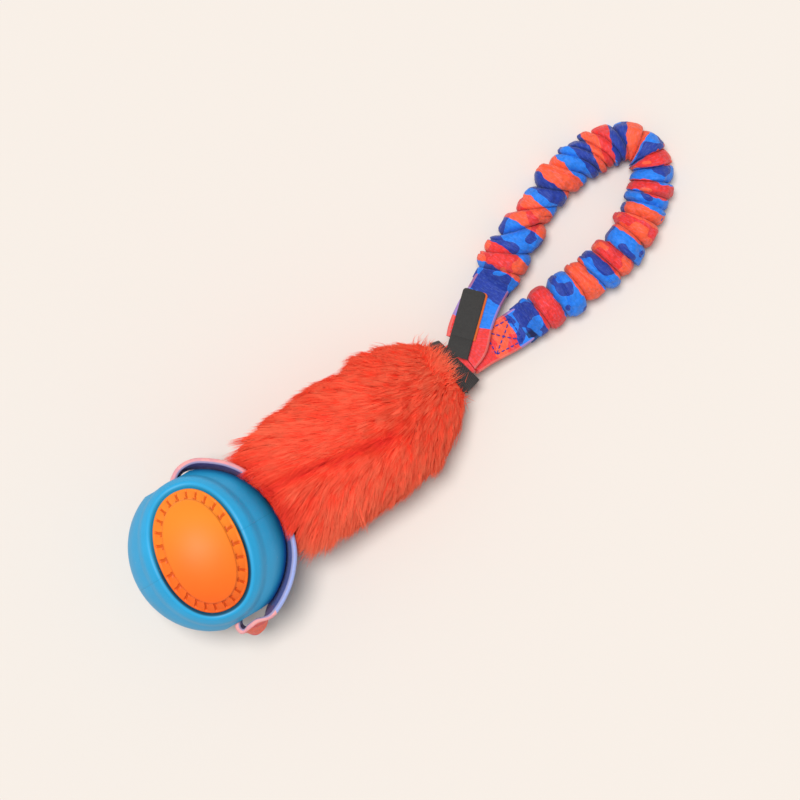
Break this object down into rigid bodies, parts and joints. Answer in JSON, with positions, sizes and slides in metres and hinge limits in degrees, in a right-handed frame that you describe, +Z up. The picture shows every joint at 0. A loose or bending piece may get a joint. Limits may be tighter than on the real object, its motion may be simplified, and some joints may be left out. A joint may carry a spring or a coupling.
{
  "type": "ball tug toy",
  "caption": "Dog's tug toy: a rubber ball with oval pads on a webbing loop, a stuffed fur sleeve and a ruched bungee hand loop with a folded label.",
  "frame": {"origin": "middle of the flat under the fur sleeve, on the surface that the toy lies on", "axes": "+X from the ball to the hand loop, +Y to the toy's left, +Z up"},
  "size_m": [0.2834, 0.0825, 0.0628],
  "materials": {
    "blue_rubber": "satin moulded",
    "orange_rubber": "satin moulded",
    "printed_webbing": "flat woven, printed in red and blue patches",
    "navy_thread": "thread",
    "coral_fur": "long pile",
    "white_fibre": "loose fibre",
    "blue_webbing": "flat woven",
    "black_webbing": "flat woven",
    "printed_fabric": "gathered, printed in red, orange and blue patches",
    "white_elastic": "braided cover",
    "label_black": "smooth woven",
    "label_orange": "smooth woven"
  },
  "bodies": {
    "fur_body": {"fur_sleeve": "coral_fur", "sleeve_filling": "white_fibre", "core_webbing": "blue_webbing", "collar_band": "black_webbing", "collar_stitching": "navy_thread"},
    "strap_neck": {"neck_webbing": "printed_webbing", "neck_stitching": "navy_thread"},
    "ball_loop": {"ball_strap": "printed_webbing"},
    "ball": {"ball_shell": "blue_rubber", "ball_core": "orange_rubber"},
    "handle": {"tail_left": "printed_fabric", "tail_right": "printed_fabric", "box_stitch_left": "navy_thread", "box_stitch_right": "navy_thread"},
    "hand_loop": {"ruched_sleeve": "printed_fabric", "bungee_cord": "white_elastic"},
    "label": {"label_face": "label_black", "label_backing": "label_orange"}
  },
  "joints": [
    {"name": "strap_swing", "type": "hinge", "parent": "fur_body", "child": "strap_neck", "pos_m": [-0.041, 0, 0.0314], "axis": [0, 0, 1], "range_deg": [-30, 30]},
    {"name": "strap_twist", "type": "hinge", "parent": "strap_neck", "child": "ball_loop", "pos_m": [-0.041, 0, 0.0314], "axis": [1, 0, 0], "range_deg": [-45, 45]},
    {"name": "ball_turn", "type": "hinge", "parent": "ball_loop", "child": "ball", "pos_m": [-0.07945, 0, 0.0314], "axis": [0.1045, 0.9945, 0], "continuous": true},
    {"name": "handle_fold", "type": "hinge", "parent": "fur_body", "child": "handle", "pos_m": [0.0526, 0, 0.014], "axis": [0, -1, 0], "range_deg": [-80, 70], "deforming": ["core_webbing"]},
    {"name": "handle_stretch", "type": "slide", "parent": "handle", "child": "hand_loop", "axis": [0.9848, 0.1736, 0], "range_m": [0, 0.06], "stiffness_N_per_m": 250, "deforming": ["ruched_sleeve", "bungee_cord"]},
    {"name": "label_lift", "type": "hinge", "parent": "handle", "child": "label", "pos_m": [0.056, 0.0068, 0.0168], "axis": [0.6055, -0.7959, 0], "range_deg": [0, 45]}
  ]
}
